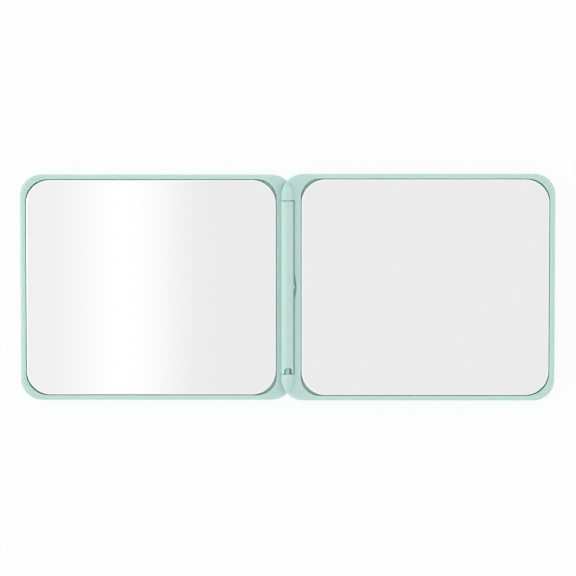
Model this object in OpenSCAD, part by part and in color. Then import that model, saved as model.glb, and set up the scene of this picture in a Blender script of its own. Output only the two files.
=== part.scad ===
// Folding double compact mirror, opened out flat with its mirrors up. The base is on the right
// and the lid on the left. The hinge axis runs along Y, above the origin, and Z = 0 is the
// surface that the case lies on.

/* [Case] */
// Length of the closed case, from its free edge to the outside of the hinge
case_l = 85; // [75:0.5:110]
// Depth of the case along the hinge
case_d = 70.4; // [66:0.2:100]
// Corner radius of the outline at the free edge
corner_r = 6.5; // [5.5:0.1:8]
// Corner radius of the outline at the hinge
hinge_corner_r = 7; // [5.5:0.1:8]
// Rounding of the back's long edge
back_r = 3.5; // [1:0.1:4]
// Rounding of the rim's outer edge
rim_r = 1; // [0.2:0.1:1.2]
// Thickness of the back
skin_t = 1.5; // [1.2:0.1:2.5]
// Height of the ribs and tape lands above the inside of the back
rib_h = 1.3; // [1:0.1:2.5]
// Thickness of a rib
rib_t = 1.2; // [0.8:0.1:2]
// Number of ribs across each half
rib_count = 4; // [2:1:6]
// Gap between the two rims when the case is closed
closed_gap = 0.2; // [0.1:0.05:0.6]
// How far the lid's front, rear and free edges stand inside those of the base
lid_inset = 0.2; // [0:0.05:0.5]

/* [Mirror] */
// Width of the rim at the free edge, from the edge of the case to the glass
rim_w = 1.85; // [1.8:0.05:4]
// Width of the front and rear rims, from the edge of the case to the glass
side_rim_w = 1.7; // [1.6:0.05:4]
// Distance from the hinge axis to the base's glass
base_hinge_margin = 4.4; // [4.2:0.05:8]
// Distance from the hinge axis to the lid's glass
lid_hinge_margin = 3.6; // [3.4:0.05:8]
// Thickness of the glass
glass_t = 1.8; // [1.3:0.1:3]
// Depth of the glass face below the rim
glass_sink = 0.5; // [0.1:0.05:1]
// Corner radius of the glass
glass_corner_r = 7.5; // [6.5:0.5:10]
// Ground edge of the glass
glass_edge_r = 0.25; // [0.1:0.05:0.5]
// Gap between the glass and the wall of its recess
glass_gap = 0.3; // [0.1:0.05:0.4]
// Corner radius of the recess at the free edge
recess_corner_r = 7; // [5:0.1:7.5]
// Corner radius of the recess at the hinge
recess_hinge_r = 5.8; // [4.5:0.1:7]
// Width of the ledge under the edge of the glass
ledge_w = 2; // [1:0.1:3]
// Gap between that ledge and the glass, which lies on its tape
ledge_gap = 0.1; // [0.05:0.05:0.4]

/* [Hinge] */
// Radius of the lid's barrel and the base's lugs
knuckle_r = 1.95; // [1.8:0.05:2.2]
// Clearance between these and the other half
knuckle_gap = 0.35; // [0.25:0.05:0.45]
// Length of the barrel
barrel_l = 53.5; // [30:0.5:56]
// Gap at each end of the barrel
end_gap = 0.2; // [0.1:0.05:0.4]
// Gap between the two stop faces under the hinge, when the case is open
stop_gap = 0.3; // [0.1:0.05:0.5]
// Rounding of the back beside the stop faces
spine_r = 2; // [0.5:0.1:2.2]
// Rounding of a lug's outer end
lug_round_r = 1.5; // [0.5:0.1:1.8]
// Fillet between a lug and the base's rim
lug_fillet_r = 0.6; // [0.2:0.1:0.8]
// Width of the slope by which the lid's rim falls to the barrel, seen from above
slope_w = 4.2; // [2.5:0.1:4.5]
// Angle of that slope
slope_angle = 16; // [5:1:20]
// Rounding where the rim turns into it
slope_r = 4; // [1:0.5:6]
// Rounding of the base's rim beside the barrel
notch_edge_r = 0.35; // [0.1:0.05:0.5]

/* [Hinge pins] */
// Diameter of the stub pins on the lugs
pin_d = 1.7; // [1.4:0.1:2]
// Radial clearance of a pin in its bore
pin_gap = 0.05; // [0.02:0.01:0.1]
// Length of the upper pin inside the barrel
upper_pin_l = 2.5; // [1.5:0.1:5]
// Width of the slot that lets the lower pin in
slot_w = 2.7; // [2.4:0.1:3]
// Length of that slot
slot_l = 2; // [1.5:0.1:4]
// Corner radius of its end, seen from above
slot_end_r = 1.1; // [0.5:0.1:1.1]
// Length of the lower pin's tip beyond the slot
lower_tip_l = 1; // [0.6:0.1:2]
// Chamfer at a pin's tip
pin_chamfer = 0.25; // [0.1:0.05:0.4]
// Space past a pin's tip
bore_spare = 0.4; // [0.2:0.1:1]

/* [Gate mark] */
// Place along the hinge
gate_y = 1; // [-10:0.5:10]
// Diameter of the mark on the barrel
gate_d = 1.2; // [0.8:0.1:2]
// How far the mark stands out
gate_h = 0.3; // [0.1:0.05:0.4]
// Length of the scoop that clears it in the base
scoop_l = 8; // [5:0.5:12]
// Depth of that scoop
scoop_depth = 0.7; // [0.6:0.05:1]

/* [Closing magnets] */
// Diameter of a magnet
magnet_d = 8; // [5:0.5:10]
// Thickness of a magnet
magnet_t = 2; // [1:0.1:2.5]
// Distance from the edges of the lid's glass to a magnet's centre
magnet_inset = 6.3; // [6.2:0.1:10]
// Radial clearance of a magnet in its pocket
magnet_gap = 0.1; // [0.05:0.05:0.3]
// Space between a magnet and the glass above it
magnet_drop = 0.4; // [0.2:0.05:0.6]
// Wall of the boss round a magnet
boss_wall = 1; // [0.8:0.1:1.5]

/* [Mounting tape] */
// Width of a strip of foam tape
tape_w = 10; // [6:0.5:12]
// Thickness of the tape
tape_t = 0.8; // [0.5:0.1:1.2]
// Distance from the hinge edge of the base's glass to the strips
tape_start = 6; // [4:0.5:15]
// Border of the raised land under a strip
land_border = 1; // [0.5:0.1:1.5]

/* [Hidden] */
$fn = 96;

// Cutters run this far past what they cut, and fills run half of it into their walls
over = 1;
// The lugs stop this far inside the outline, all round
skim = 0.05;
// Rounds run this far into what they blend with, so that they cross it and don't just touch it
bite = 0.002;

// Heights, from the surface that the case lies on
glass_seat_z = skin_t + rib_h + tape_t;
glass_top_z = glass_seat_z + glass_t;
rim_z = glass_top_z + glass_sink;
axis_z = rim_z + closed_gap / 2;
land_z = skin_t + rib_h;
ledge_z = glass_seat_z - ledge_gap;
magnet_top_z = glass_seat_z - magnet_drop;

// Where each half ends along X, from the hinge axis outwards, and the lid's depth
base_end_x = case_l - knuckle_r;
lid_end_x = base_end_x - lid_inset;
outline_x = -knuckle_r - skim;
lid_d = case_d - 2 * lid_inset;

// Each half's glass: where it begins and ends along X, and its depth
base_glass = [base_hinge_margin, base_end_x - rim_w, case_d - 2 * side_rim_w];
lid_glass = [lid_hinge_margin, lid_end_x - rim_w, lid_d - 2 * side_rim_w];

// Magnets and tape meet their partners when the case is closed, so they have the same places in
// both halves
magnet_x = lid_glass[1] - magnet_inset;
magnet_y = lid_glass[2] / 2 - magnet_inset;
tape_x = base_glass[0] + tape_start;
tape_end_x = magnet_x - magnet_d / 2 - magnet_gap - boss_wall - land_border;
tape_pitch = (lid_glass[2] - tape_w) / 3;

notch_l = barrel_l + 2 * end_gap;
hinge_hole_r = knuckle_r + knuckle_gap;
pin_r = pin_d / 2;

mint = "#C2E1DB";
silver = "#E4E7E8";
foam = "#F2F2EE";
nickel = "#B9BCC0";

// What a round of radius r takes off the lower right corner of a section, at the origin
module corner_waste(r) {
    difference() {
        translate([-r, -over]) square([r + over, r + over]);
        translate([-r, r]) circle(r);
    }
}

// Section of a slab w wide and h high that stands on the X axis, with rounded edges
module slab_section(w, h, low_r, top_r) {
    difference() {
        translate([-w / 2, 0]) square([w, h]);
        for (side = [0, 1]) mirror([side, 0]) translate([w / 2, 0]) {
            corner_waste(low_r);
            translate([0, h]) mirror([0, 1]) corner_waste(top_r);
        }
    }
}

// A section in X and Z, carried along Y for a length l and centred
module along_y(l) {
    translate([0, l / 2, 0]) rotate([90, 0, 0]) linear_extrude(l) children();
}

// A slab from x0 to x1 and d deep, with rounded edges above and below. Its corners in plan have
// the radius r0 at x0 and r1 at x1.
module rounded_slab(x0, x1, d, r0, r1, h, low_r, top_r) {
    l = x1 - r1 - x0 - r0;
    translate([x0 + r0 + l / 2, 0, 0]) rotate([0, 0, 90]) along_y(l)
        slab_section(d, h, low_r, top_r);
    for (end = [[x0 + r0, r0], [x1 - r1, r1]]) {
        r = end[1];
        translate([end[0], 0, 0]) {
            along_y(d - 2 * r) slab_section(2 * r, h, low_r, top_r);
            for (side = [-1, 1]) translate([0, side * (d / 2 - r), 0])
                rotate_extrude() intersection() {
                    slab_section(2 * r, h, low_r, top_r);
                    square([r, h]);
                }
        }
    }
}

// A rectangle from x0 to x1 and d deep, with round corners: r0 at x0 and r1 at x1
module round_rectangle(x0, x1, d, r0, r1) {
    translate([x0 + r0, -d / 2]) square([x1 - r1 - x0 - r0, d]);
    for (end = [[x0 + r0, r0], [x1 - r1, r1]]) translate([end[0], 0]) {
        square([2 * end[1], d - 2 * end[1]], center = true);
        for (side = [-1, 1]) translate([0, side * (d / 2 - end[1])]) circle(end[1]);
    }
}

// A cylinder on the hinge axis, from y0 to y1
module on_axis(r, y0, y1) {
    translate([0, y1, axis_z]) rotate([90, 0, 0]) cylinder(h = y1 - y0, r = r);
}

// The outline of one half, as a slab that reaches to end_x and is d deep
module outline_slab(end_x, d, h, top_r) {
    rounded_slab(outline_x, end_x, d, hinge_corner_r, corner_r, h, back_r, top_r);
}

// Plan of what lies inside the walls of the recess round the glass, drawn in by inset
module recess_plan(glass, inset) {
    room = inset - glass_gap;
    round_rectangle(glass[0] + room, glass[1] - room, glass[2] - 2 * room,
        recess_hinge_r - inset, recess_corner_r - inset);
}

// The space for the glass, and the hollow under it
module mirror_recess(glass) {
    translate([0, 0, ledge_z]) linear_extrude(rim_z) recess_plan(glass, 0);
    translate([0, 0, skin_t]) linear_extrude(rim_z) recess_plan(glass, ledge_w);
}

// Cylinders where the two magnets of one half go
module at_magnets(r, z0, z1) {
    for (side = [-1, 1])
        translate([magnet_x, side * magnet_y, z0]) cylinder(h = z1 - z0, r = r);
}

// One strip of tape, or the land under it where border is more than 0
module tape_block(row, z0, z1, border) {
    translate([tape_x - border, row * tape_pitch - tape_w / 2 - border, z0])
        cube([tape_end_x - tape_x + 2 * border, tape_w + 2 * border, z1 - z0]);
}

// Ribs, tape lands and magnet bosses on the inside of the back
module tray_inside(glass) {
    z0 = skin_t - over / 2;
    first_x = glass[0] - glass_gap + ledge_w;
    last_x = glass[1] + glass_gap - ledge_w;
    intersection() {
        union() {
            for (row = [-1, 0, 1]) tape_block(row, z0, land_z, land_border);
            for (i = [1 : rib_count]) {
                x = first_x + i * (last_x - first_x) / (rib_count + 1);
                translate([x - rib_t / 2, -case_d / 2, z0]) cube([rib_t, case_d, land_z - z0]);
            }
            at_magnets(magnet_d / 2 + magnet_gap + boss_wall, z0, magnet_top_z);
        }
        linear_extrude(rim_z) recess_plan(glass, ledge_w - over / 2);
    }
}

// Section of what is cut away at the hinge, up to the stop face, with the back's rounding there
module spine_waste() {
    translate([-case_l, -over]) square([case_l + stop_gap / 2, rim_z + 2 * over]);
    translate([stop_gap / 2, 0]) mirror([1, 0]) corner_waste(spine_r);
}

// The body of one half, without its hinge
module tray(end_x, glass, d) {
    difference() {
        union() {
            difference() {
                outline_slab(end_x, d, rim_z, rim_r);
                mirror_recess(glass);
            }
            tray_inside(glass);
        }
        at_magnets(magnet_d / 2 + magnet_gap, magnet_top_z - magnet_t, rim_z);
        along_y(2 * case_d) spine_waste();
    }
}

// Section of the fillet between a lug and the rim. It meets the lug's round at height foot_z.
module lug_fillet() {
    middle_r = knuckle_r + lug_fillet_r - bite;
    middle_z = rim_z + lug_fillet_r - bite;
    middle_x = sqrt(pow(middle_r, 2) - pow(middle_z - axis_z, 2));
    foot_z = axis_z + (middle_z - axis_z) * knuckle_r / middle_r;
    difference() {
        translate([0, rim_z - over / 2]) square([middle_x, foot_z - rim_z + over / 2]);
        translate([middle_x, middle_z]) circle(lug_fillet_r);
    }
}

// The two lugs: round on the hinge axis, and shaped at their ends by the corners of the outline
module lugs() {
    l = case_d / 2 + over - notch_l / 2;
    intersection() {
        outline_slab(base_end_x, case_d - 2 * skim, axis_z + knuckle_r + skim, lug_round_r);
        for (side = [0, 1]) mirror([0, side, 0]) {
            on_axis(knuckle_r, notch_l / 2, notch_l / 2 + l);
            translate([0, (notch_l + l) / 2, 0]) along_y(l) lug_fillet();
        }
    }
}

// A stub pin with a chamfered tip. Its root is inside the lug, and it reaches l past the lug's face
module stub_pin(l) {
    translate([0, notch_l / 2 + over, axis_z]) rotate([90, 0, 0]) {
        cylinder(h = over + l - pin_chamfer, r = pin_r);
        translate([0, 0, over + l - pin_chamfer])
            cylinder(h = pin_chamfer, r1 = pin_r, r2 = pin_r - pin_chamfer);
    }
}

// The scoop in the base that lets the gate mark pass, an arc turned about the hinge axis
module gate_scoop() {
    bottom_r = hinge_hole_r + scoop_depth;
    arc_r = (scoop_l * scoop_l / 4 + scoop_depth * scoop_depth) / (2 * scoop_depth);
    translate([0, gate_y, axis_z]) rotate([90, 0, 0]) rotate_extrude() intersection() {
        translate([bottom_r - arc_r, 0]) circle(arc_r, $fn = 360);
        translate([0, -scoop_l / 2]) square([bottom_r + over, scoop_l]);
    }
}

// Section of the round on the base's rim beside the barrel
module notch_edge_waste() {
    translate([hinge_hole_r + notch_edge_r, rim_z - notch_edge_r]) difference() {
        translate([-notch_edge_r - over, 0]) square([notch_edge_r + over, notch_edge_r + over]);
        circle(notch_edge_r);
    }
}

// Section of what the lid loses to the slope beside the barrel: all above an arc and its tangent
module slope_waste() {
    arc_w = slope_r * sin(slope_angle);
    translate([knuckle_r + slope_w, rim_z - slope_r]) intersection() {
        translate([-slope_w, 0]) square([slope_w, slope_r + over]);
        union() {
            difference() {
                translate([-arc_w, 0]) square([arc_w, slope_r + over]);
                circle(slope_r);
            }
            rotate(slope_angle) translate([-2 * slope_w, slope_r - bite])
                square([3 * slope_w, slope_w + over]);
        }
    }
}

// Right half: tray, lugs and stub pins in one moulding
module base_shell() {
    color(mint) {
        difference() {
            tray(base_end_x, base_glass, case_d);
            on_axis(hinge_hole_r, -notch_l / 2, notch_l / 2);
            along_y(notch_l) notch_edge_waste();
            gate_scoop();
        }
        lugs();
        stub_pin(end_gap + upper_pin_l);
        mirror([0, 1, 0]) stub_pin(end_gap + slot_l + lower_tip_l);
    }
}

// The spaces in the barrel for the two pins, and the slot at its lower end, which is half round
// below the axis and has a round end above it
module pin_spaces() {
    end_y = barrel_l / 2;
    bore_r = pin_r + pin_gap;
    on_axis(bore_r, end_y - upper_pin_l - bore_spare, end_y + over);
    on_axis(bore_r, -end_y - over, -end_y + slot_l + lower_tip_l + bore_spare);
    on_axis(slot_w / 2, -end_y - over, -end_y + slot_l - slot_end_r);
    translate([0, 0, axis_z]) linear_extrude(knuckle_r + over) rotate(90)
        round_rectangle(-end_y - over - slot_end_r, -end_y + slot_l, slot_w, slot_end_r, slot_end_r);
}

// Left half: tray and barrel in one moulding
module lid_shell() {
    color(mint) difference() {
        union() {
            mirror([1, 0, 0]) difference() {
                tray(lid_end_x, lid_glass, lid_d);
                along_y(2 * case_d) slope_waste();
                for (side = [0, 1]) mirror([0, side, 0]) on_axis(hinge_hole_r, barrel_l / 2, case_d);
            }
            on_axis(knuckle_r, -barrel_l / 2, barrel_l / 2);
            translate([knuckle_r - over, gate_y, axis_z]) rotate([0, 90, 0])
                cylinder(h = over + gate_h, d = gate_d);
        }
        pin_spaces();
    }
}

// A silvered pane with a ground edge, on the base's side
module mirror_pane(glass) {
    translate([0, 0, glass_seat_z])
        rounded_slab(glass[0], glass[1], glass[2], glass_corner_r, glass_corner_r,
            glass_t, glass_edge_r, glass_edge_r);
}

module base_mirror() { color(silver) mirror_pane(base_glass); }
module lid_mirror() { color(silver) mirror([1, 0, 0]) mirror_pane(lid_glass); }

// A strip of foam tape in one of three rows: 1 is the upper, 0 the middle and -1 the lower
module base_tape(row) { color(foam) tape_block(row, land_z, glass_seat_z, 0); }
module lid_tape(row) { mirror([1, 0, 0]) base_tape(row); }

// A disc magnet in its pocket: side 1 is the upper and -1 the lower
module base_magnet(side) {
    color(nickel) translate([magnet_x, side * magnet_y, magnet_top_z - magnet_t])
        cylinder(h = magnet_t, d = magnet_d);
}
module lid_magnet(side) { mirror([1, 0, 0]) base_magnet(side); }

base_shell();
lid_shell();
base_mirror();
lid_mirror();
base_tape(1);  // base_tape_upper
base_tape(0);  // base_tape_middle
base_tape(-1);  // base_tape_lower
lid_tape(1);  // lid_tape_upper
lid_tape(0);  // lid_tape_middle
lid_tape(-1);  // lid_tape_lower
base_magnet(1);  // base_magnet_upper
base_magnet(-1);  // base_magnet_lower
lid_magnet(1);  // lid_magnet_upper
lid_magnet(-1);  // lid_magnet_lower
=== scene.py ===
"""Looks of a folding double compact mirror, opened out flat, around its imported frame.

The base is on the right (+X) and the lid on the left (-X), with the hinge along Y. Pieces are
modelled in millimetres and brought to the frame's metres by place().
"""

import math

import bmesh
import bpy
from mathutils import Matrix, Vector


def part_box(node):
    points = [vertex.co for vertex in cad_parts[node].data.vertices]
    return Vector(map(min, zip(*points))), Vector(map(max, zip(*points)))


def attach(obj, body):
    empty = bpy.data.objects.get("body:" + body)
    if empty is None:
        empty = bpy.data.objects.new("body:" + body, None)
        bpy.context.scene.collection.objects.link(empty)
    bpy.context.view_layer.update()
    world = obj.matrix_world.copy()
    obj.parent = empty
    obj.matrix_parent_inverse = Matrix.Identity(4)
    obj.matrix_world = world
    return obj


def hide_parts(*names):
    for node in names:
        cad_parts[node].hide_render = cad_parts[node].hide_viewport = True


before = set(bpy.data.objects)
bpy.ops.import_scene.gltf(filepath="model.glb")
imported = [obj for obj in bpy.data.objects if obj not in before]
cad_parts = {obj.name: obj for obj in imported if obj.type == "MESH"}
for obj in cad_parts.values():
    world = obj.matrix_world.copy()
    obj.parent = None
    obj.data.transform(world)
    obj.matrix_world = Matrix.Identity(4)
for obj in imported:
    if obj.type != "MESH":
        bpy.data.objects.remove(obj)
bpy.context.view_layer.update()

bpy.ops.object.select_all(action="DESELECT")

MM = 0.001


def spans(node):
    """Where a CAD node begins and ends along each axis, in millimetres, on the base's side."""
    low, high = (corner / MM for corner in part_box(node))
    x = (low.x, high.x) if low.x + high.x > 0 else (-high.x, -low.x)
    return x, (low.y, high.y), (low.z, high.z)


# Sizes in millimetres that the frame's boxes don't give. The hinge axis is over x = 0.

TOUCH = 0.002  # two places nearer than this are the same
PROUD = 0.01  # faces that would lie in one plane are kept this far apart, for clean booleans
OVER = 1.0  # cutters run this far past what they cut

# Steps in the rounds, and sides of a full round
CORNER_STEPS = 20
BACK_STEPS = 10
RIM_STEPS = 8
SPINE_STEPS = 8
SLOPE_STEPS = 6
SLOT_STEPS = 12
GLASS_STEPS = 32
EDGE_STEPS = 3
ROUND_SIDES = 96
PIN_SIDES = 48

# Case
OUTLINE_X = -2.0
CORNER_R = 6.5
HINGE_CORNER_R = 7.0
BACK_R = 3.5
RIM_R = 1.0
SKIN_T = 1.5
RIM_Z = 5.9
AXIS_Z = 6.0

# Pane, and the recess and hollow under it
GLASS_R = 7.5
GLASS_GAP = 0.24
GROUND_W = 0.28
GROUND_H = 0.06
PANE_BACK_R = 0.15
RECESS_R = 7.0
RECESS_HINGE_R = 5.8
RECESS_ROUND = 0.15
LEDGE_Z = 3.5
LEDGE_W = 2.0

# Ribs, lands under the tape and bosses round the magnets
RIB_COUNT = 4
RIB_T = 1.2
LAND_BORDER = 1.0
POCKET_GAP = 0.1
BOSS_WALL = 1.0

# Hinge
KNUCKLE_R = 1.95
HOLE_R = 2.14
BARREL_L = 53.5
NOTCH_L = 53.9
STOP_X = 0.15
SPINE_R = 2.0
LUG_FILLET_R = 0.6
LUG_TIP_R = 0.04
LUG_RINGS = 10
SLOPE_W = 4.2
SLOPE_ANGLE = math.radians(16)
SLOPE_R = 4.0
NOTCH_EDGE_R = 0.3
SOFT_EDGE = 0.2
PIN_R = 0.85
PIN_CHAMFER = 0.25
UPPER_PIN_L = 2.7
LOWER_PIN_L = 3.2
BORE_R = 0.9
BORE_SPARE = 0.2
SLOT_X = (-1.35, 0.97)
SLOT_L = 2.0
SLOT_END_R = 1.1
SLOT_FLOOR_Z = 5.05

# Gate mark on the barrel
GATE_Y = 0.25
GATE_R = 0.65
GATE_H = 0.3
GATE_ROUND = 0.25

# Scoop in the base, beside the gate mark
SCOOP_Y = 0.2
SCOOP_L = 8.0
SCOOP_DEPTH = 0.7
SCOOP_PASS = 0.25  # what share of the scoop's depth the trough swells by, so that the mark passes
SCOOP_DISH = 0.8  # how high the scoop's section is for its radius
SCOOP_RINGS = 12

# Ends along the hinge of bars that run past the case
PAST_Y = (-40.0, 40.0)
WELL_PAST_Y = (-50.0, 50.0)

# Edges of the hidden pieces
TAPE_CORNER_R = 0.8
TAPE_DISH = 0.1
MAGNET_ROUND = 0.25

# Camera

CAMERA_D = 0.6
CAMERA_TILT = math.radians(2.6)
VIEW_WIDTH = 0.1786  # what the picture's width takes in, at the height of the rims
AIM_X, AIM_Y = 0.19, -0.13
SENSOR = 36

camera_data = bpy.data.cameras.new("camera")
camera_data.sensor_width = SENSOR
camera_data.lens = SENSOR * CAMERA_D / VIEW_WIDTH
camera_data.clip_start = 0.01
camera = bpy.data.objects.new("camera", camera_data)
bpy.context.scene.collection.objects.link(camera)
aim = Vector((AIM_X, AIM_Y, RIM_Z)) * MM
camera.location = aim + CAMERA_D * Vector((0, math.sin(CAMERA_TILT), math.cos(CAMERA_TILT)))
camera.rotation_euler = (-CAMERA_TILT, 0, 0)
bpy.context.scene.camera = camera

# Modelling helpers


def added(name):
    """The primitive just added, named, with its size and place in its mesh."""
    piece = bpy.context.object
    piece.name = piece.data.name = name
    bpy.ops.object.transform_apply(location=True, rotation=True, scale=True)
    return piece


def block(name, x, y, z):
    """A block between two places along each axis."""
    bpy.ops.mesh.primitive_cube_add(
        size=1,
        location=[sum(span) / 2 for span in (x, y, z)],
        scale=[abs(span[1] - span[0]) for span in (x, y, z)],
    )
    return added(name)


def rod(name, r, y, x=0.0, z=AXIS_Z, sides=ROUND_SIDES):
    """A round bar along Y, between two places."""
    bpy.ops.mesh.primitive_cylinder_add(
        vertices=sides,
        radius=r,
        depth=abs(y[1] - y[0]),
        location=(x, sum(y) / 2, z),
        rotation=(math.pi / 2, 0, 0),
    )
    return added(name)


def disc(name, r, x, y, z, sides=ROUND_SIDES):
    """A round bar along Z, between two heights."""
    bpy.ops.mesh.primitive_cylinder_add(
        vertices=sides, radius=r, depth=z[1] - z[0], location=(x, y, sum(z) / 2)
    )
    return added(name)


def edit(piece, kind, rule, *steps):
    """Selects the edges or faces that the rule takes, and runs the steps on them in edit mode.

    The rule gets an edge's two ends, or a face's middle and normal.
    """
    bpy.ops.object.select_all(action="DESELECT")
    piece.select_set(True)
    bpy.context.view_layer.objects.active = piece
    bpy.ops.object.mode_set(mode="EDIT")
    bpy.ops.mesh.select_mode(type=kind)
    bpy.ops.mesh.select_all(action="DESELECT")
    mesh = bmesh.from_edit_mesh(piece.data)
    if kind == "EDGE":
        for e in mesh.edges:
            e.select_set(rule(e.verts[0].co, e.verts[1].co))
    else:
        for f in mesh.faces:
            f.select_set(rule(f.calc_center_median(), f.normal))
    mesh.select_flush_mode()
    bmesh.update_edit_mesh(piece.data)
    for step in steps:
        step()
    bpy.ops.object.mode_set(mode="OBJECT")
    return piece


def bevel(piece, size, segments, rule):
    """Rounds the edges that the rule takes."""
    return edit(
        piece,
        "EDGE",
        rule,
        lambda: bpy.ops.mesh.bevel(
            offset=size, segments=segments, affect="EDGES", clamp_overlap=False
        ),
    )


def split(piece, spot, normal):
    """Gives the piece a ring of edges where this plane crosses it."""
    return edit(
        piece,
        "EDGE",
        lambda a, b: True,
        lambda: bpy.ops.mesh.bisect(plane_co=spot, plane_no=normal),
    )


def near(a, b):
    return abs(a - b) < TOUCH


def upright(a, b):
    """An edge along Z."""
    return near(a.x, b.x) and near(a.y, b.y)


def at_height(z):
    return lambda a, b: near(a.z, z) and near(b.z, z)


def at_y(y):
    return lambda a, b: near(a.y, y) and near(b.y, y)


def combine(piece, tool, how):
    """Cuts the tool from the piece, joins it on, or keeps what both hold. The tool is used up."""
    boolean = piece.modifiers.new("combine", "BOOLEAN")
    boolean.operation = how
    boolean.solver = "EXACT"
    boolean.object = tool
    bpy.ops.object.select_all(action="DESELECT")
    piece.select_set(True)
    bpy.context.view_layer.objects.active = piece
    bpy.ops.object.modifier_apply(modifier=boolean.name)
    bpy.data.meshes.remove(tool.data)
    return piece


def cove(name, x, y, z, r, middle):
    """A bar for cutting a round of radius r, whose middle is at (x, z) = middle, along an edge."""
    bar = block(name, x, y, z)
    return combine(bar, rod("round", r, (min(y) - 1, max(y) + 1), *middle, sides=64), "DIFFERENCE")


def place(piece, side, angle=35):
    """Turns the piece to its side of the hinge, brings it to metres and smooths its rounds."""
    bpy.ops.object.select_all(action="DESELECT")
    piece.select_set(True)
    bpy.context.view_layer.objects.active = piece
    piece.scale = (side * MM, MM, MM)
    bpy.ops.object.transform_apply(location=False, rotation=False, scale=True)
    bpy.ops.object.mode_set(mode="EDIT")
    bpy.ops.mesh.select_all(action="SELECT")
    bpy.ops.mesh.remove_doubles(threshold=1e-7)
    bpy.ops.mesh.normals_make_consistent(inside=False)
    bpy.ops.object.mode_set(mode="OBJECT")
    bpy.ops.object.shade_smooth_by_angle(angle=math.radians(angle))
    return piece


# The two shells


def round_corners(piece, hinge_x, hinge_r, free_x, free_r):
    """Rounds a block's upright edges, by one radius at the hinge and another at the free edge."""
    for x, r in ((hinge_x, hinge_r), (free_x, free_r)):
        bevel(piece, r, CORNER_STEPS, lambda a, b: upright(a, b) and near(a.x, x))


def tray(half):
    """One half without its hinge, on the base's side."""
    x, y, z = spans(f"{half}_shell")
    piece = block(f"{half}_shell_moulding", (OUTLINE_X, x[1]), y, (0, RIM_Z))
    round_corners(piece, OUTLINE_X, HINGE_CORNER_R, x[1], CORNER_R)
    bevel(piece, BACK_R, BACK_STEPS, at_height(0))
    bevel(piece, RIM_R, RIM_STEPS, at_height(RIM_Z))

    recess_x, recess_y = (
        (span[0] - GLASS_GAP, span[1] + GLASS_GAP) for span in spans(f"{half}_mirror")[:2]
    )
    plug = block("plug", recess_x, recess_y, (LEDGE_Z, RIM_Z + OVER))
    round_corners(plug, recess_x[0], RECESS_HINGE_R, recess_x[1], RECESS_R)
    edit(
        plug,
        "FACE",
        lambda middle, normal: normal.z < -0.9,
        lambda: bpy.ops.mesh.inset(thickness=LEDGE_W),
        lambda: bpy.ops.mesh.extrude_region_move(
            TRANSFORM_OT_translate={"value": (0, 0, SKIN_T - LEDGE_Z)}
        ),
    )
    combine(piece, plug, "DIFFERENCE")

    def recess_mouth(a, b):
        return all(
            near(v.z, RIM_Z)
            and recess_x[0] - TOUCH < v.x < recess_x[1] + TOUCH
            and recess_y[0] - TOUCH < v.y < recess_y[1] + TOUCH
            for v in (a, b)
        )

    bevel(piece, RECESS_ROUND, EDGE_STEPS, recess_mouth)
    fit_inside(piece, half, recess_x, recess_y)

    # The stop face beside the hinge, and the round of the back below it
    bar = block("bar", (OUTLINE_X - OVER, STOP_X + SPINE_R), PAST_Y, (-OVER, RIM_Z + OVER))
    keep = block("keep", (STOP_X, STOP_X + 2 * SPINE_R), WELL_PAST_Y, (0, RIM_Z + 2 * OVER))
    bevel(
        keep,
        SPINE_R,
        SPINE_STEPS,
        lambda a, b: all(near(v.x, STOP_X) and near(v.z, 0) for v in (a, b)),
    )
    combine(bar, keep, "DIFFERENCE")
    return combine(piece, bar, "DIFFERENCE")


def fit_inside(piece, half, recess_x, recess_y):
    """Adds the ribs, the lands for the tape, and the bosses with pockets for the magnets."""
    root = SKIN_T - OVER / 2
    land_z = spans(f"{half}_tape_middle")[2][0]
    hollow_x = (recess_x[0] + LEDGE_W, recess_x[1] - LEDGE_W)
    rib_y = (recess_y[0] + LEDGE_W - OVER / 2, recess_y[1] - LEDGE_W + OVER / 2)
    inside = []
    for where in ("upper", "middle", "lower"):
        x, y = (
            (span[0] - LAND_BORDER, span[1] + LAND_BORDER)
            for span in spans(f"{half}_tape_{where}")[:2]
        )
        inside.append(block("land", x, y, (root, land_z)))
    for i in range(1, RIB_COUNT + 1):
        x = hollow_x[0] + i * (hollow_x[1] - hollow_x[0]) / (RIB_COUNT + 1)
        inside.append(block("rib", (x - RIB_T / 2, x + RIB_T / 2), rib_y, (root, land_z)))
    pockets = []
    for where in ("upper", "lower"):
        x, y, z = spans(f"{half}_magnet_{where}")
        middle = (sum(x) / 2, sum(y) / 2)
        pocket_r = (x[1] - x[0]) / 2 + POCKET_GAP
        inside.append(disc("boss", pocket_r + BOSS_WALL, *middle, (root, z[1])))
        pockets.append(disc("pocket", pocket_r, *middle, (z[0], RIM_Z)))
    for part in inside:
        combine(piece, part, "UNION")
    for pocket in pockets:
        combine(piece, pocket, "DIFFERENCE")


def turned(bar, rings):
    """Cuts a bar along Y at each ring's place, and scales it there across and up, about the hinge
    axis."""
    for y, _, _ in rings:
        split(bar, (0, y, 0), (0, 1, 0))
    for y, across, up in rings:
        edit(
            bar,
            "EDGE",
            at_y(y),
            lambda: bpy.ops.transform.resize(
                value=(across, 1, up), center_override=(0, y, AXIS_Z)
            ),
        )
    return bar


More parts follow.
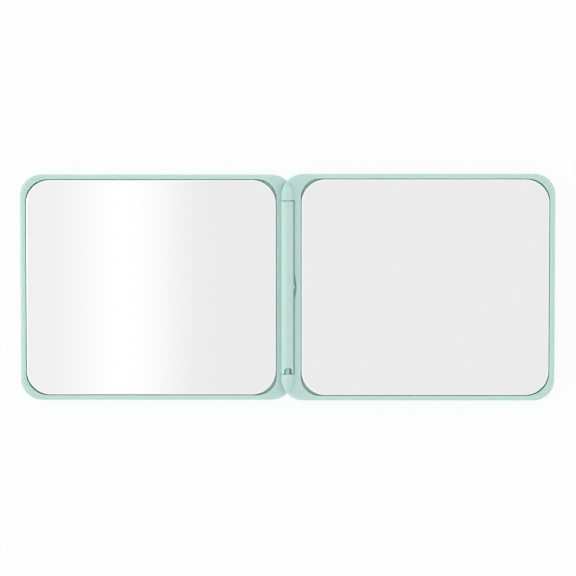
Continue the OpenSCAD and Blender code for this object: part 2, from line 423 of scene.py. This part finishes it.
def trough():
    """What the base loses to the barrel: a round bar on the hinge axis that swells a little where
    the gate mark passes, and a shallow dish for the scoop."""
    arc_r = (SCOOP_L**2 / 4 + SCOOP_DEPTH**2) / (2 * SCOOP_DEPTH)
    passage, dish = [], []
    for i in range(SCOOP_RINGS + 1):
        dy = (i / SCOOP_RINGS - 0.5) * SCOOP_L
        swell = (math.sqrt(arc_r**2 - dy**2) - arc_r + SCOOP_DEPTH) / HOLE_R
        passage.append((SCOOP_Y + dy, 1 + SCOOP_PASS * swell, 1 + SCOOP_PASS * swell))
        dish.append((SCOOP_Y + dy, 1 + swell, SCOOP_DISH))
    yield turned(rod("trough", HOLE_R, (-NOTCH_L / 2 - PROUD, NOTCH_L / 2 + PROUD)), passage)
    dish_y = (SCOOP_Y - SCOOP_L / 2, SCOOP_Y + SCOOP_L / 2)
    yield turned(rod("dish", HOLE_R, dish_y), dish)


def lug_rings(side, r):
    """Rings that draw a bar of radius r in to a point, by the arc of the outline's corner."""
    arc_x = HINGE_CORNER_R - KNUCKLE_R
    arc_y = spans("base_shell")[1][1] - HINGE_CORNER_R
    arc_r = arc_x + r
    end = math.acos((arc_x + LUG_TIP_R) / arc_r)
    rings = []
    for i in range(1, LUG_RINGS + 1):
        turn = end * i / LUG_RINGS
        shrink = (arc_r * math.cos(turn) - arc_x) / r
        rings.append((side * (arc_y + arc_r * math.sin(turn)), shrink, shrink))
    return rings


def stub_pin(y_root, y_tip):
    """A pin on the hinge axis, chamfered at its tip."""
    pin = rod("pin", PIN_R, (y_root, y_tip), sides=PIN_SIDES)
    return bevel(pin, PIN_CHAMFER, 1, at_y(y_tip))


def lug_fillet(y):
    """The fillet between a lug and the rim, as a bar along Y."""
    middle_r, middle_z = KNUCKLE_R + LUG_FILLET_R, RIM_Z + LUG_FILLET_R
    middle_x = math.sqrt(middle_r**2 - (middle_z - AXIS_Z) ** 2)
    foot_z = AXIS_Z + (middle_z - AXIS_Z) * KNUCKLE_R / middle_r
    return cove(
        "fillet",
        (OVER, middle_x),
        y,
        (RIM_Z - OVER, foot_z),
        LUG_FILLET_R + PROUD,
        (middle_x, middle_z),
    )


def model_base_shell():
    """Right half: tray, two lugs and two stub pins in one moulding."""
    shell = tray("base")
    for bar in trough():
        combine(shell, bar, "DIFFERENCE")
    edge_x, edge_z = HOLE_R + NOTCH_EDGE_R, RIM_Z - NOTCH_EDGE_R
    notch_y = (-NOTCH_L / 2 - PROUD, NOTCH_L / 2 + PROUD)
    edge = cove(
        "edge",
        (HOLE_R - OVER, edge_x),
        notch_y,
        (edge_z, RIM_Z + OVER),
        NOTCH_EDGE_R,
        (edge_x, edge_z),
    )
    combine(shell, edge, "DIFFERENCE")
    for side in (-1, 1):
        rings = lug_rings(side, KNUCKLE_R)
        inner, outer = side * NOTCH_L / 2, rings[-1][0]
        lug = rod("lug", KNUCKLE_R, (inner, outer))
        bevel(lug, SOFT_EDGE, EDGE_STEPS, at_y(inner))
        combine(lug, lug_fillet((inner + side * PROUD, rings[-2][0])), "UNION")
        combine(shell, turned(lug, rings), "UNION")
    for side, length in ((1, UPPER_PIN_L), (-1, LOWER_PIN_L)):
        root = NOTCH_L / 2
        combine(shell, stub_pin(side * (root + OVER), side * (root - length)), "UNION")
    return place(shell, 1)


def slope():
    """What the lid loses where its rim falls to the barrel: a bar with a round and a slope."""
    top_x = KNUCKLE_R + SLOPE_W
    low_x = 0.0
    bar = block("slope", (low_x, top_x), PAST_Y, (RIM_Z, RIM_Z + OVER))
    turns = [i * SLOPE_ANGLE / SLOPE_STEPS for i in range(1, SLOPE_STEPS + 1)]
    bends = [top_x - SLOPE_R * math.sin(turn) for turn in turns]
    for x in bends:
        split(bar, (x, 0, 0), (1, 0, 0))
    for x in bends + [low_x]:
        run = top_x - max(x, bends[-1])
        fall = SLOPE_R - math.sqrt(SLOPE_R**2 - run**2) + math.tan(SLOPE_ANGLE) * (top_x - x - run)
        edit(
            bar,
            "EDGE",
            lambda a, b: all(near(v.x, x) and near(v.z, RIM_Z) for v in (a, b)),
            lambda: bpy.ops.transform.translate(value=(0, 0, -fall)),
        )
    return bar


def gate_mark():
    """The stub that the mould's gate leaves on the barrel, with a rounded tip."""
    bpy.ops.mesh.primitive_cylinder_add(
        vertices=32,
        radius=GATE_R,
        depth=OVER + GATE_H,
        location=(-(KNUCKLE_R + (GATE_H - OVER) / 2), GATE_Y, AXIS_Z),
        rotation=(0, math.pi / 2, 0),
    )
    tip = -(KNUCKLE_R + GATE_H)
    return bevel(added("mark"), GATE_ROUND, 2, lambda a, b: near(a.x, tip) and near(b.x, tip))


def model_lid_shell():
    """Left half: tray and barrel in one moulding."""
    shell = tray("lid")
    combine(shell, slope(), "DIFFERENCE")
    for side in (-1, 1):
        rings = lug_rings(side, HOLE_R)
        room = rod("room", HOLE_R, (side * (BARREL_L / 2 - PROUD), rings[-1][0]))
        combine(shell, turned(room, rings), "DIFFERENCE")

    end = BARREL_L / 2
    barrel = rod("barrel", KNUCKLE_R, (-end, end))
    bevel(barrel, SOFT_EDGE, EDGE_STEPS, lambda a, b: near(abs(a.y), end) and near(a.y, b.y))
    combine(shell, barrel, "UNION")
    combine(shell, gate_mark(), "UNION")

    for side, length in ((1, UPPER_PIN_L), (-1, LOWER_PIN_L)):
        bottom = end - length - BORE_SPARE
        bore = rod("bore", BORE_R, (side * bottom, side * (end + OVER)), sides=PIN_SIDES)
        combine(shell, bore, "DIFFERENCE")

    # The slot down to the pin, and the well that goes on beside it
    mouth_y = (-end - OVER, -end + SLOT_L)
    slot = block("slot", SLOT_X, mouth_y, (AXIS_Z - PROUD, AXIS_Z + KNUCKLE_R + OVER))
    bevel(slot, SLOT_END_R, SLOT_STEPS, lambda a, b: upright(a, b) and near(a.y, mouth_y[1]))
    well = block("well", (SLOT_X[0], PROUD), mouth_y, (SLOT_FLOOR_Z, AXIS_Z + KNUCKLE_R))
    bevel(
        well,
        SLOT_END_R - PROUD,
        SLOT_STEPS,
        lambda a, b: upright(a, b) and near(a.y, mouth_y[1]) and near(a.x, SLOT_X[0]),
    )
    combine(shell, slot, "DIFFERENCE")
    combine(shell, well, "DIFFERENCE")
    return place(shell, -1)


# Panes, tape and magnets


def model_pane(half, side):
    """A pane cut from silvered float glass, the edge of its face ground to a shallow bevel."""
    x, y, z = spans(f"{half}_mirror")
    pane = block(f"{half}_mirror_pane", x, y, (z[0], z[1] - GROUND_H))
    bevel(pane, GLASS_R, GLASS_STEPS, upright)
    edit(
        pane,
        "FACE",
        lambda middle, normal: normal.z > 0.9,
        lambda: bpy.ops.mesh.inset(thickness=GROUND_W),
        lambda: bpy.ops.transform.translate(value=(0, 0, GROUND_H)),
    )
    bevel(pane, PANE_BACK_R, 2, at_height(z[0]))
    return place(pane, side, 10)


def model_tape(name, node, side):
    """A strip of foam between two adhesive films, with die-cut corners and sides that lie back."""
    strip = block(name, *spans(node))
    bevel(strip, TAPE_CORNER_R, 4, upright)
    edit(
        strip,
        "FACE",
        lambda middle, normal: abs(normal.z) < 0.1,
        lambda: bpy.ops.mesh.inset(thickness=TAPE_DISH),
        lambda: bpy.ops.transform.shrink_fatten(value=-TAPE_DISH),
    )
    return place(strip, side, 30)


def model_magnet(name, node, side):
    """A plated disc, its two edges tumbled round."""
    x, y, z = spans(node)
    magnet = disc(name, (x[1] - x[0]) / 2, sum(x) / 2, sum(y) / 2, z, sides=64)
    for edge_z in z:
        bevel(magnet, MAGNET_ROUND, EDGE_STEPS, at_height(edge_z))
    return place(magnet, side)


# Materials


def linear(colour):
    """Linear RGBA of an sRGB hex colour."""
    parts = [int(colour[i : i + 2], 16) / 255 for i in (1, 3, 5)]
    return (*[c / 12.92 if c <= 0.04045 else ((c + 0.055) / 1.055) ** 2.4 for c in parts], 1)


def add(tree, kind, links=(), values=(), **settings):
    """Adds a node with its settings, its inputs' values and the links into it."""
    node = tree.nodes.new(kind)
    for name, value in settings.items():
        setattr(node, name, value)
    for name, value in dict(values).items():
        node.inputs[name].default_value = value
    for name, socket in dict(links).items():
        tree.links.new(socket, node.inputs[name])
    return node


def new_material(name, colour, **values):
    """A material with one Principled shader, whose inputs have these values."""
    material = bpy.data.materials.new(name)
    material.use_nodes = True
    material.diffuse_color = linear(colour)
    shader = material.node_tree.nodes["Principled BSDF"]
    shader.inputs["Base Color"].default_value = linear(colour)
    for key, value in values.items():
        shader.inputs[key.replace("_", " ")].default_value = value
    return material, material.node_tree, shader


def per_metre(size_mm):
    """Noise scale at which one blotch is about this size."""
    return 1 / (size_mm * MM)


def noise(tree, size_mm, detail):
    """Soft noise on the piece, with blotches of about this size."""
    spot = add(tree, "ShaderNodeTexCoord").outputs["Object"]
    values = {"Scale": per_metre(size_mm), "Detail": detail}
    return add(tree, "ShaderNodeTexNoise", {"Vector": spot}, values).outputs[0]


def remap(tree, value, span, result, **settings):
    """A value taken from one span to another, and held at the ends."""
    values = dict(zip(("From Min", "From Max", "To Min", "To Max"), (*span, *result)))
    return add(tree, "ShaderNodeMapRange", {"Value": value}, values, **settings).outputs[0]


def blend(tree, share, first, second):
    """A colour between two, by the share."""
    values = {6: linear(first), 7: linear(second)}
    return add(tree, "ShaderNodeMix", {0: share}, values, data_type="RGBA").outputs[2]


def bump(tree, height, strength, depth_mm):
    """The normal of a surface with this relief."""
    values = {"Strength": strength, "Distance": depth_mm * MM}
    return add(tree, "ShaderNodeBump", {"Height": height}, values).outputs[0]


def moulded_mint_abs(name, depth):
    """Mint ABS, injection moulded against a lightly vapour-honed steel.

    The eye gets an even, opaque pastel with a satin skin: soft broad highlights, a little
    unevenness of pigment over some 15 mm, and a fine grain of about 0.3 mm that breaks up the
    edge of each highlight. The real grain is nearer 0.05 mm, too fine to show. Light goes into
    it by the depth, in millimetres.
    """
    material, tree, shader = new_material(
        name,
        "#C5E0DA",
        Roughness=0.4,
        IOR=1.53,
        Specular_IOR_Level=0.65,
        Subsurface_Weight=1.0,
        Subsurface_Radius=(0.4, 1.2, 1.1),
        Subsurface_Scale=depth * MM,
    )
    pigment = blend(tree, noise(tree, 15, 3), "#C2DED8", "#C8E2DC")
    grain = noise(tree, 0.3, 2)
    tree.links.new(pigment, shader.inputs["Base Color"])
    tree.links.new(remap(tree, grain, (0.3, 0.7), (0.38, 0.42)), shader.inputs["Roughness"])
    tree.links.new(bump(tree, grain, 0.04, 0.01), shader.inputs["Normal"])
    return material


def silvering():
    """Silvered float glass, seen from the front: a clean neutral reflection of nearly all
    light, with a faint haze."""
    material, tree, shader = new_material(
        "silvered glass", "#EBEBEB", Metallic=1.0, Roughness=0.01
    )
    haze = remap(tree, noise(tree, 20, 4), (0.35, 0.75), (0.006, 0.02))
    tree.links.new(haze, shader.inputs["Roughness"])
    return material


def ground_glass():
    """The ground and polished edge of float glass: a pale, faintly green line round the pane.

    Light that goes in through it comes back from the silver behind, so it shines like metal.
    """
    material, tree, shader = new_material(
        "ground glass edge", "#F8FEFD", Metallic=1.0, Roughness=0.25
    )
    frost = blend(tree, noise(tree, 0.25, 2), "#F4FCFA", "#FBFFFE")
    tree.links.new(frost, shader.inputs["Base Color"])
    return material


def backing_paint():
    """The grey protective lacquer on the back of the silvering, rolled on and faintly mottled."""
    material, tree, shader = new_material("mirror backing paint", "#8C8F90", Roughness=0.5)
    coat = blend(tree, noise(tree, 1.5, 3), "#828586", "#96999A")
    tree.links.new(coat, shader.inputs["Base Color"])
    return material


def foam():
    """White closed-cell polyethylene foam, cut by a die: matt, with cells of about 0.3 mm whose
    pits are painted darker as shade.
    """
    material, tree, shader = new_material("polyethylene foam tape", "#F0F0EC", Roughness=0.9)
    spot = add(tree, "ShaderNodeTexCoord").outputs["Object"]
    cells = add(tree, "ShaderNodeTexVoronoi", {"Vector": spot}, {"Scale": per_metre(0.3)})
    depth = cells.outputs["Distance"]
    # Painted shade: the colour follows the same depth as the bump, darker where the cells' pits
    # are deeper.
    tree.links.new(blend(tree, depth, "#DEDED8", "#F7F7F4"), shader.inputs["Base Color"])
    tree.links.new(bump(tree, depth, 0.5, 0.05), shader.inputs["Normal"])
    return material


def nickel():
    """Bright nickel plate on a sintered magnet, tumbled: metal with a faintly uneven satin."""
    material, tree, shader = new_material("nickel plate", "#B9BCC0", Metallic=1.0, Roughness=0.25)
    satin = remap(tree, noise(tree, 0.8, 4), (0.3, 0.7), (0.18, 0.34))
    tree.links.new(satin, shader.inputs["Roughness"])
    return material


MINT = moulded_mint_abs("moulded mint ABS", 0.6)
PIN_MINT = moulded_mint_abs("moulded mint ABS of the thin pins", 0.1)
SILVER = silvering()
GROUND = ground_glass()
BACKING = backing_paint()
FOAM = foam()
NICKEL = nickel()

# Pieces on their bodies


def dress(piece, body, node, material):
    """Gives a piece its material, and its place in the frame."""
    piece.data.materials.clear()
    piece.data.materials.append(material)
    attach(piece, body)
    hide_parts(node)


def dress_pins(shell):
    """The material of thin plastic on the stub pins."""
    shell.data.materials.append(PIN_MINT)
    for face in shell.data.polygons:
        x, y, z = face.center / MM
        if math.hypot(x, z - AXIS_Z) < PIN_R + PROUD and abs(y) < NOTCH_L / 2:
            face.material_index = 1


def dress_pane(pane):
    """Silver on the face, ground glass round the edge, and paint on the back."""
    for material in (GROUND, BACKING):
        pane.data.materials.append(material)
    for face in pane.data.polygons:
        if face.normal.z < -0.99:
            face.material_index = 2
        elif face.normal.z < 0.99:
            face.material_index = 1


base_shell = model_base_shell()
dress(base_shell, "base", "base_shell", MINT)
dress_pins(base_shell)
dress(model_lid_shell(), "lid", "lid_shell", MINT)
for body, side in (("base", 1), ("lid", -1)):
    pane = model_pane(body, side)
    dress(pane, body, f"{body}_mirror", SILVER)
    dress_pane(pane)
    for where in ("upper", "middle", "lower"):
        node = f"{body}_tape_{where}"
        strip = model_tape(f"{body}_tape_strip_{where}", node, side)
        dress(strip, body, node, FOAM)
    for where in ("upper", "lower"):
        node = f"{body}_magnet_{where}"
        magnet = model_magnet(f"{body}_magnet_disc_{where}", node, side)
        dress(magnet, body, node, NICKEL)

# Floor, lamps and world

SOFT_LEVEL = 0.92  # how strongly the white all round lights the case
SOFT_SWING = 0.04  # how much stronger that is from the left, and weaker from the right
FLOOR_WHITE = 0.85  # how far the camera sees the table as plain white

# The brighter band overhead: the ways in X where it begins, is brightest and ends, with its levels
BAND_X = (-0.0375, -0.0845, -0.128)
BAND_TOP = 1.203
BAND_END = 1.048

# The broad glow low on the left and right that gives the plastic's edges their sheen: the ways in
# X between which it rises, and its level
LEFT_GLOW = (-0.5, -0.7, 1.0)
RIGHT_GLOW = (0.6, 0.8, 0.4)

BOUNCES = 10  # the narrow gaps in the pale plastic need many

FLOOR_SIZE = 6
FLOOR_Z = -0.00003  # just clear of the case

# A weak lamp at the upper left for a soft shadow
KEY_AT = (-0.75, 0.1, 0.55)
KEY_SIZE = (0.5, 0.7)
KEY_POWER = 0.8

bpy.ops.object.select_all(action="DESELECT")
bpy.ops.mesh.primitive_plane_add(size=FLOOR_SIZE, location=(0, 0, FLOOR_Z))
floor = bpy.context.object
floor.name = "floor"


def calculate(tree, operation, a, b):
    return add(tree, "ShaderNodeMath", {0: a, 1: b}, operation=operation).outputs[0]


def or_mirrored(tree, rays, share):
    """The share, but 1 for rays that come off a shine or through glass."""
    for kind in ("Is Glossy Ray", "Is Transmission Ray"):
        share = calculate(tree, "MAXIMUM", share, rays.outputs[kind])
    return share


def white_floor():
    """Matt white table top. It is the white of the world in reflections, and partly so to the
    camera."""
    material, tree, shader = new_material("white table", "#FAFAFA", Roughness=0.8)
    tree.nodes.remove(shader)
    matt = add(tree, "ShaderNodeBsdfDiffuse", values={"Color": linear("#FAFAFA")})
    white = add(tree, "ShaderNodeEmission", values={"Color": linear("#FFFFFF"), "Strength": 1.0})
    rays = add(tree, "ShaderNodeLightPath")
    seen = remap(tree, rays.outputs["Is Camera Ray"], (0, 1), (0, FLOOR_WHITE))
    share = or_mirrored(tree, rays, seen)
    both = add(
        tree, "ShaderNodeMixShader", {0: share, 1: matt.outputs[0], 2: white.outputs[0]}
    )
    tree.links.new(both.outputs[0], tree.nodes["Material Output"].inputs["Surface"])
    return material


floor.data.materials.append(white_floor())

key = bpy.data.lights.new("key", "AREA")
key.shape = "RECTANGLE"
key.size, key.size_y = KEY_SIZE
key.energy = KEY_POWER
key_lamp = bpy.data.objects.new("key", key)
bpy.context.scene.collection.objects.link(key_lamp)
key_lamp.location = KEY_AT
key_lamp.rotation_euler = (-key_lamp.location).to_track_quat("-Z", "Y").to_euler()

world = bpy.data.worlds.new("white studio")
bpy.context.scene.world = world
world.use_nodes = True


def studio(tree):
    """Soft white all round, stronger from the left. Eyes and reflections see plain white with a
    brighter band overhead and a broad glow low on the left and right."""
    tree.nodes.clear()
    way = add(tree, "ShaderNodeTexCoord").outputs["Generated"]
    across = add(tree, "ShaderNodeSeparateXYZ", {0: way}).outputs["X"]
    soft = remap(tree, across, (-1, 1), (SOFT_LEVEL + SOFT_SWING, SOFT_LEVEL - SOFT_SWING))

    def ramp(begin, full, low, high):
        return remap(tree, across, (begin, full), (low, high), interpolation_type="SMOOTHSTEP")

    rise = ramp(BAND_X[0], BAND_X[1], 1.0, BAND_TOP)
    fall = ramp(BAND_X[1], BAND_X[2], 0.0, BAND_TOP - BAND_END)
    shown = calculate(tree, "SUBTRACT", rise, fall)
    for begin, full, glow in (LEFT_GLOW, RIGHT_GLOW):
        shown = calculate(tree, "ADD", shown, ramp(begin, full, 0.0, glow))
    rays = add(tree, "ShaderNodeLightPath")
    seen = or_mirrored(tree, rays, rays.outputs["Is Camera Ray"])
    level = add(tree, "ShaderNodeMix", {0: seen, 2: soft, 3: shown}, data_type="FLOAT")
    white = add(
        tree, "ShaderNodeBackground", {"Strength": level.outputs[0]}, {"Color": linear("#FFFFFF")}
    )
    add(tree, "ShaderNodeOutputWorld", {"Surface": white.outputs[0]})


studio(world.node_tree)

bpy.context.scene.cycles.diffuse_bounces = bpy.context.scene.cycles.max_bounces = BOUNCES
bpy.context.scene.view_settings.view_transform = "Standard"
